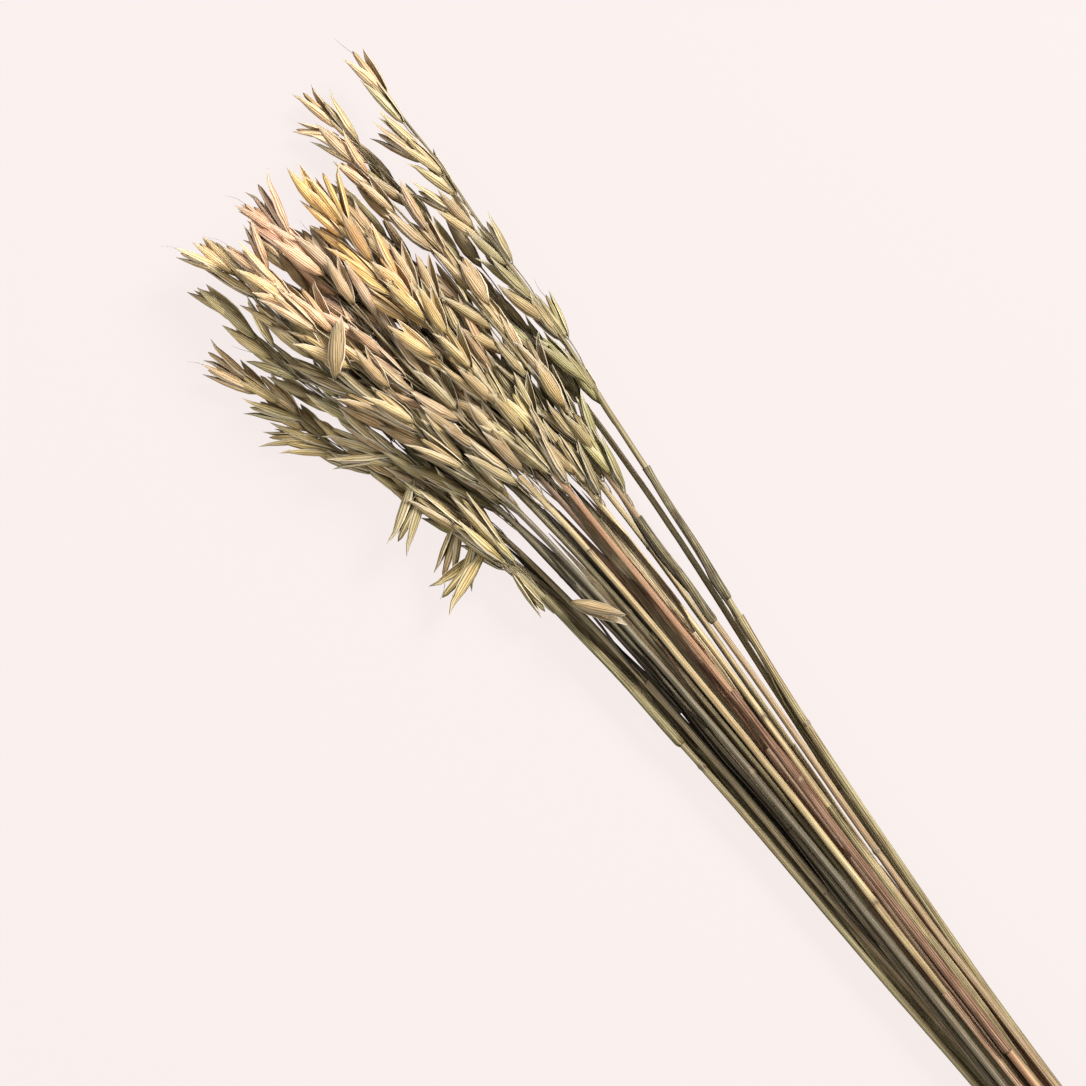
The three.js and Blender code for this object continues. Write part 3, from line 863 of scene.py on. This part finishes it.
# shape: spikelets, spread in mm, lean in degrees; colours: at the foot and at the tip
# strays: share along the head, way round and lean in degrees, distance out in mm, kind, size
usualHead = {"side": 0, "focus": 1.0, "shift": 0, "beyond": 0, "strays": []}
headPlan = {
    "01": {"shape": (16, 4.0, 13), "colours": ((157, 148, 105), (215, 194, 153)),
        "side": 180, "focus": 0.5, "beyond": 1, "strays": [
        (0.19, 10, 8, 1.5, 3, 0.9), (0.44, 0, 5, 1.0, 1, 0.9), (0.62, 185, 24, 4.0, 7, 0.95),
        (0.8, 180, 20, 4.0, 1, 1.0),
    ]},
    "02": {"shape": (20, 4.0, 15), "colours": ((167, 155, 111), (243, 217, 173)),
        "focus": 1.4, "beyond": 2,
        "strays": [(0.97, 190, 38, 2.0, 5, 0.8), (0.86, 175, 10, 4.0, 7, 0.9)]},
    "03": {"shape": (28, 5.0, 15), "colours": ((172, 161, 117), (217, 187, 149)),
        "focus": 1.2, "beyond": 1,
        "strays": [(-0.05, 15, 8, 1.5, 1, 1.0)]},
    "04": {"shape": (26, 5.0, 14), "colours": ((162, 149, 106), (205, 181, 139)),
        "focus": 1.2,
        "strays": [(-0.08, 10, 8, 1.5, 2, 0.95)]},
    "05": {"shape": (32, 5.5, 16), "colours": ((169, 155, 116), (206, 175, 136)), "beyond": 2,
        "strays": [(-0.1, 20, 12, 1.5, 1, 1.0), (-0.04, 60, 9, 2.0, 3, 1.0)]},
    "06": {"shape": (32, 6.0, 16), "colours": ((180, 164, 124), (239, 197, 130)),
        "focus": 0.8, "beyond": 1, "strays": [
        (-0.08, 40, 10, 1.5, 0, 1.0), (-0.03, 120, 9, 2.0, 7, 1.0), (0.93, 20, 16, 3.0, 4, 1.05),
    ]},
    "07": {"shape": (32, 5.5, 16), "colours": ((164, 148, 109), (200, 165, 126))},
    "08": {"shape": (32, 6.0, 15), "colours": ((177, 160, 125), (219, 180, 151)),
        "focus": 0.8, "beyond": -2,
        "strays": [(0.98, 0, 14, 2.0, 4, 1.1)]},
    "09": {"shape": (30, 5.5, 15), "colours": ((149, 137, 99), (210, 179, 140))},
    "10": {"shape": (32, 6.0, 16), "colours": ((175, 158, 115), (248, 213, 166)),
        "focus": 0.8, "shift": 1, "beyond": -2,
        "strays": [(1.0, 10, 24, 2.0, 3, 0.9)]},
    "11": {"shape": (30, 5.5, 16), "colours": ((149, 135, 90), (248, 220, 170)), "shift": 1,
        "strays": [(1.02, 190, 22, 1.5, 3, 0.9)]},
    "12": {"shape": (30, 5.0, 16), "colours": ((175, 156, 109), (248, 230, 175)),
        "shift": 1, "beyond": 1},
    "13": {"shape": (20, 4.0, 14), "colours": ((167, 150, 102), (234, 208, 156)), "shift": 1, "strays": [
        (0.96, 182, 12, 2.0, 3, 1.0), (0.68, 185, 44, 0.5, 7, 0.95), (0.77, 182, 25, 0.5, 1, 1.0),
        (0.6, 178, 30, 1.0, 2, 0.95),
    ]},
    "14": {"shape": (17, 3.5, 14), "colours": ((192, 175, 130), (202, 184, 142)), "shift": 8, "strays": [
        (0.02, 186, 4, 3.0, 4, 0.95), (0.02, 186, 171, 0.5, 0, 1.05), (0.74, 188, 124, 1.0, 4, 1.14),
        (0.66, 176, 112, 1.5, 1, 1.1), (0.4, 190, 122, 3.0, 6, 1.12), (0.26, 196, 126, 2.0, 2, 1.05),
        (0.18, 184, 98, 3.0, 4, 1.15), (0.97, 180, 10, 2.0, 2, 1.0), (0.9, 184, 48, 1.0, 7, 1.0),
        (0.86, 186, 24, 3.0, 0, 0.95), (0.3, 150, 16, 4.0, 0, 1.2), (0.12, 60, 12, 4.0, 0, 1.2),
        (0.05, 130, 8, 3.0, 6, 1.2),
    ]},
    # heads 15 to 17 lie deep under the others: their dark brown colours are painted shade
    "15": {"shape": (20, 5.0, 15), "colours": ((68, 52, 23), (104, 79, 40)), "beyond": -14},
    "16": {"shape": (20, 5.0, 15), "colours": ((57, 45, 20), (99, 76, 39)), "beyond": -16},
    "17": {"shape": (20, 5.0, 15), "colours": ((64, 51, 24), (102, 80, 43)), "beyond": -14},
}
headLook = {
    "stalkRadius": 0.72 * mm, "stalkSteps": 18, "stalkEntry": 4 * mm, "stalkEnd": 0.9,
    "stalkShares": (1.25, 0.85), "twigRadius": 0.26 * mm, "twigBack": 22 * mm, "twigSteps": 4,
    "twigArch": 0.8 * mm, "twigThinning": 0.35, "twigEntry": 0.6 * mm, "twigEndShare": 1.2,
    "twigLimit": 14 * mm, "twigColour": (132, 120, 84), "twigColourShare": 0.6,
    "footGap": 2 * mm, "tipBack": 12 * mm, "wayAhead": 10 * mm, "wayBehind": 4 * mm,
    "sideOn": 0.5, "sideRoll": (0.7, 1.35), "flatRoll": 0.45, "strayRoll": 1.3,
    "thinning": 1.28, "jitter": 0.3, "sizes": (0.84, 1.04), "offsets": (0.2, 1.0),
    "leans": (0.3, 1.3), "leastLean": 0.35, "swellFrom": 0.12, "swellRate": 0.9, "swellPower": 0.6,
    "shades": (0.78, 1.25), "tintShift": (0.94, 1.06), "blendShift": (0.8, 1.2), "backShift": (0.4, 1.2),
}


def leanWay(turn):
    return Vector((0, math.cos(turn), math.sin(turn)))


def headSpot(number, x):
    # a place on a head's line, drawn in towards the bundle at its far end
    line = lines[number]
    foot, tip = stems[number][-1].x, line[-1].x
    share = max(0.0, (foot - x) / (foot - tip))
    shift = {**usualHead, **headPlan[number]}["shift"] * mm
    spot = spotOn(line, max(x, tip)) + Vector((0, shift * min(share, 1.1) ** 0.8, 0))
    if x < tip:
        spot += (spot - headSpot(number, tip + headLook["tipBack"])).normalized() * (tip - x)
    return spot


def pickRoll(look):
    # a spikelet lies flat, or on its side with its husks gaping in view
    if random.random() < look["sideOn"]:
        return random.choice((-1, 1)) * random.uniform(*look["sideRoll"])
    return random.gauss(0, look["flatRoll"])


def twigTo(number, start, aim, out, back, footLimit, look):
    # a thread-like branch from the main stalk to a spikelet's foot
    rootPlace = headSpot(number, min(start.x + back, footLimit))
    twig = []
    for i in range(look["twigSteps"]):
        part = i / look["twigSteps"]
        place = rootPlace.lerp(start, part) + out * (look["twigArch"] * math.sin(math.pi * part))
        twig.append((place, 1.0 - look["twigThinning"] * part, 0))
    twig.append((start + (aim - start).normalized() * look["twigEntry"], look["twigEndShare"], 0))
    return twig


def makeSeedHead(number, plan, look):
    foot = stems[number][-1].x
    tip = lines[number][-1].x - plan["beyond"] * mm
    length = foot - tip
    reach = spikeletLook["length"]
    count, spread, usualLean = plan["shape"]
    rootColour, tipColour = [screenColour(*colour) for colour in plan["colours"]]
    pieces = []
    twigs = []
    stalk = []
    thick, thinning = look["stalkShares"]
    stalkStart = foot + look["stalkEntry"]
    stalkEnd = tip + look["stalkEnd"] * reach
    for i in range(look["stalkSteps"] + 1):
        share = i / look["stalkSteps"]
        x = stalkStart + (stalkEnd - stalkStart) * share
        stalk.append((headSpot(number, x), thick - thinning * share, 0))

    def hang(share, turn, lean, offset, kind, size, roll):
        x = foot - look["footGap"] - (length - reach - look["footGap"]) * share
        out = leanWay(turn)
        start = headSpot(number, x) + out * offset
        way = headSpot(number, x - look["wayAhead"]) - headSpot(number, x + look["wayBehind"])
        way.normalize()
        aim = start + way * math.cos(lean) + out * math.sin(lean)
        faceUp = Vector((0.01, math.sin(roll), math.cos(roll)))
        shade = random.uniform(*look["shades"])
        colour = blendColours(rootColour, tipColour, min(1, share * random.uniform(*look["blendShift"])))
        colour = tuple(c * shade * random.uniform(*look["tintShift"]) for c in colour[:3])
        pieces.append(hangSpikelet(kind, start, aim, faceUp, size, colour, random.random()))
        back = look["twigBack"] * random.uniform(*look["backShift"])
        twigs.append(twigTo(number, start, aim, out, back, foot + look["twigLimit"], look))

    last = count - 1
    for k in range(count):
        part = (k + random.uniform(-look["jitter"], look["jitter"])) / last
        share = min(max(part, 0), 1) ** look["thinning"]
        side = 0 if k % 2 == 0 or (plan["side"] and k % 4) else math.pi
        turn = math.radians(plan["side"]) + side + random.gauss(0, plan["focus"])
        along = min(1, look["swellFrom"] + share * look["swellRate"])
        swell = math.sin(math.pi * along) ** look["swellPower"]
        offset = spread * mm * swell * random.uniform(*look["offsets"]) if k < last else 0
        leanShare = look["leastLean"] + (1 - look["leastLean"]) * swell
        lean = math.radians(usualLean * random.uniform(*look["leans"]) * leanShare)
        size = random.uniform(*look["sizes"])
        hang(share, turn, lean, offset, random.randrange(len(spikelets)), size, pickRoll(look))
    for share, turn, lean, offset, kind, size in plan["strays"]:
        roll = random.choice((-1, 1)) * look["strayRoll"]
        hang(share, math.radians(turn), math.radians(lean), offset * mm, kind, size, roll)
    stalkwork = drawPath("headStalk" + number, [stalk], look["stalkRadius"], 1)
    twigwork = drawPath("headTwigs" + number, twigs, look["twigRadius"], 0)
    twigColour = screenColour(*look["twigColour"])
    red, green, blue, _ = blendColours(rootColour, twigColour, look["twigColourShare"])
    for part in (stalkwork, twigwork):
        seed = random.random()
        paintTint(part, lambda place: (red, green, blue, seed))
        part.data.materials.append(strawSkin)
    for piece in pieces:
        piece.data.materials.append(oatHusk)
    head = joinAll([stalkwork, twigwork] + pieces, "oatHead" + number)
    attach(head, "root")
    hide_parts("seed_head_" + number)


for number in stalkNumbers:
    makeSeedHead(number, {**usualHead, **headPlan[number]}, headLook)
print("seed heads made")


fallenLook = {
    "faceUp": Vector((0.1, 0.3, 0.95)), "size": 1.08, "seed": 0.37,
    # kind, the way its tip points, colour
    "fallen_spikelet_1": (4, Vector((-0.72, 0.69, 0)), (206, 182, 140)),
    "fallen_spikelet_2": (2, Vector((0.81, 0.59, 0)), (200, 178, 140)),
}


def makeFallen(node, look):
    kindIndex, towards, colour = look[node]
    places = [v.co.copy() for v in nodes[node].data.vertices]
    tip = max(places, key=lambda place: place.dot(towards))
    foot = min(places, key=lambda place: place.dot(towards))
    colour = screenColour(*colour)
    piece = hangSpikelet(kindIndex, foot, tip, look["faceUp"], look["size"], colour, look["seed"])
    piece.name = "fallenSpikelet" + node[-1]
    piece.data.materials.append(oatHusk)
    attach(piece, "root")
    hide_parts(node)


for node in ("fallen_spikelet_1", "fallen_spikelet_2"):
    makeFallen(node, fallenLook)
for kind in spikelets:
    bpy.data.objects.remove(kind)
print("fallen spikelets laid")


twineLook = {
    "turns": 6, "radius": 0.85 * mm, "plyRadius": 0.52 * mm, "plyOffset": 0.42 * mm, "plyPitch": 4.6 * mm,
    "stalkReach": 1.75 * mm, "corners": 36, "steps": 900,
    "knotSize": 0.62 * mm, "knotRise": 2.4, "knotSteps": 60,
    "tail": 17 * mm, "tailSteps": 36, "tailDrop": 4.6 * mm, "tailBend": 3 * mm,
    "colour": (186, 156, 112), "seed": 0.5,
}


def loopCorners(look, x):
    # a taut loop round the stalks: where neighbouring lines that just touch them cross
    held = [spotOn(lines[number], x) for number in stalkNumbers]
    middle = boxMiddle(held)
    turn = 2 * math.pi / look["corners"]

    def farthest(angle):
        way = Vector((0, math.cos(angle), math.sin(angle)))
        return max((spot - middle).dot(way) for spot in held) + look["stalkReach"] + look["radius"]

    corners = []
    for i in range(look["corners"]):
        angle = i * turn
        out = farthest(angle)
        along = (farthest(angle + turn) - out * math.cos(turn)) / math.sin(turn)
        y = out * math.cos(angle) - along * math.sin(angle)
        z = out * math.sin(angle) + along * math.cos(angle)
        corners.append(middle + Vector((0, y, z)))
    return corners


def alongLoop(corners, turns):
    # a place on the loop, a number of turns round it
    place = (turns % 1) * len(corners)
    k = int(place) % len(corners)
    return corners[k].lerp(corners[(k + 1) % len(corners)], place - int(place))


slantedWay = Vector((0.31, 0.52, 0.79))  # no piece of the twine runs along it


def twistPlies(centres, look):
    # two plies twisted round a centre line
    plies = [[], []]
    travelled = 0
    for i, centre in enumerate(centres):
        ahead = centres[min(i + 1, len(centres) - 1)] - centres[max(i - 1, 0)]
        ahead.normalize()
        side = ahead.cross(slantedWay).normalized()
        over = ahead.cross(side)
        if i:
            travelled += (centre - centres[i - 1]).length
        twist = 2 * math.pi * travelled / look["plyPitch"]
        for ply, start in zip(plies, (0, math.pi)):
            offset = (side * math.cos(twist + start) + over * math.sin(twist + start)) * look["plyOffset"]
            ply.append((centre + offset, 1.0, 0))
    return plies


def makeTie(look):
    low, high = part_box("twine_tie")
    corners = loopCorners(look, (low.x + high.x) / 2)
    first, last = low.x + look["radius"], high.x - look["radius"]
    coil = []
    for i in range(look["steps"] + 1):
        share = i / look["steps"]
        place = alongLoop(corners, look["turns"] * share)
        place.x = first + (last - first) * share
        coil.append(place)
    top = max(coil, key=lambda place: place.z)
    knotAt = Vector(((first + last) / 2, top.y, top.z + look["knotRise"] * look["radius"]))
    knot = []
    for i in range(look["knotSteps"] + 1):
        t = 2 * math.pi * i / look["knotSteps"]
        x = math.sin(t) + 2 * math.sin(2 * t)
        y = math.cos(t) - 2 * math.cos(2 * t)
        knot.append(knotAt + Vector((x, y, -math.sin(3 * t))) * look["knotSize"])
    routes = twistPlies(coil, look) + twistPlies(knot, look)
    for way in (-1, 1):
        tail = []
        for i in range(look["tailSteps"] + 1):
            share = i / look["tailSteps"]
            z = -look["tailDrop"] * math.sin(math.pi * share / 2)
            reach = Vector((way * look["tail"] * share, way * look["tailBend"] * share * share, z))
            tail.append(knotAt + reach)
        routes += twistPlies(tail, look)
    piece = drawPath("twineTie", routes, look["plyRadius"], 0)
    colour = screenColour(*look["colour"], look["seed"])
    paintTint(piece, lambda place: colour)
    piece.data.materials.append(naturalTwine)
    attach(piece, "root")
    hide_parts("twine_tie")


makeTie(twineLook)
print("tie wound")


studio = {
    "floorSize": 8, "floorDrop": 0.4 * mm, "floor": (0.032, 0.030, 0.030, 1.0), "floorRoughness": 0.9,
    "glowColour": (1.0, 0.912, 0.896, 1.0), "glow": 0.895,
    "skyColour": (1.0, 0.985, 0.97, 1.0), "sky": 0.60, "underSky": 0.022, "skyRamp": (-0.05, 0.15),
    "lightAim": Vector((-0.12, 0, 0.02)),
    "key": {"place": Vector((-0.25, 1.05, 1.0)), "size": 0.45, "power": 42, "colour": (1.0, 0.99, 0.975)},
    "fill": {"place": Vector((-0.5, -1.1, 1.0)), "size": 1.2, "power": 8.5, "colour": (0.95, 0.97, 1.0)},
    "aim": Vector((-0.1106, -0.0074, 0.020)), "roll": 49.7, "lens": 100, "sensor": 36, "frameWidth": 0.3964,
    "clipStart": 0.05, "clipEnd": 20,
}


def makeFloor(look):
    # a pale sheet with a little glow of its own, which sends no light back up at the stems
    deselectAll()
    bpy.ops.mesh.primitive_plane_add(size=look["floorSize"], location=(0, 0, 0))
    floor = bpy.context.object
    floor.name = "floor"
    floor.location.z = -look["floorDrop"]
    material, tree, shader = newMaterial("paleFloor")
    shader.inputs["Base Color"].default_value = look["floor"]
    shader.inputs["Roughness"].default_value = look["floorRoughness"]
    shader.inputs["Specular IOR Level"].default_value = 0.0
    shader.inputs["Emission Color"].default_value = look["glowColour"]
    shader.inputs["Emission Strength"].default_value = look["glow"]
    floor.data.materials.append(material)
    floor.visible_diffuse = False
    floor.visible_glossy = False


def makeSky(look):
    # pale above, dark below
    world = bpy.data.worlds.new("softSky")
    world.use_nodes = True
    tree = world.node_tree
    background = tree.nodes["Background"]
    background.inputs["Color"].default_value = look["skyColour"]
    split = tree.nodes.new("ShaderNodeSeparateXYZ")
    tree.links.new(tree.nodes.new("ShaderNodeTexCoord").outputs["Generated"], split.inputs[0])
    height = addRamp(tree, split.outputs[2], *look["skyRamp"])
    strength = scaled(tree, height, look["sky"] - look["underSky"], look["underSky"])
    tree.links.new(strength, background.inputs["Strength"])
    bpy.context.scene.world = world


def addAreaLight(name, look, aim):
    data = bpy.data.lights.new(name, "AREA")
    data.shape = "SQUARE"
    data.size = look["size"]
    data.energy = look["power"]
    data.color = look["colour"]
    light = bpy.data.objects.new(name, data)
    bpy.context.scene.collection.objects.link(light)
    light.location = look["place"]
    light.rotation_euler = (aim - look["place"]).to_track_quat("-Z", "Y").to_euler()


def makeCamera(look):
    # straight down, at the distance where the frame is as wide as wanted
    camera = bpy.data.cameras.new("camera")
    camera.lens = look["lens"]
    camera.sensor_width = look["sensor"]
    camera.clip_start = look["clipStart"]
    camera.clip_end = look["clipEnd"]
    holder = bpy.data.objects.new("camera", camera)
    bpy.context.scene.collection.objects.link(holder)
    distance = look["frameWidth"] * look["lens"] / look["sensor"]
    holder.location = look["aim"] + Vector((0, 0, distance))
    holder.rotation_euler = (0, 0, math.radians(look["roll"]))
    bpy.context.scene.camera = holder


def makeStudio(look):
    makeFloor(look)
    makeSky(look)
    addAreaLight("keyLight", look["key"], look["lightAim"])
    addAreaLight("fillLight", look["fill"], look["lightAim"])
    makeCamera(look)
    bpy.context.scene.view_settings.view_transform = "Standard"


makeStudio(studio)
print("studio set")
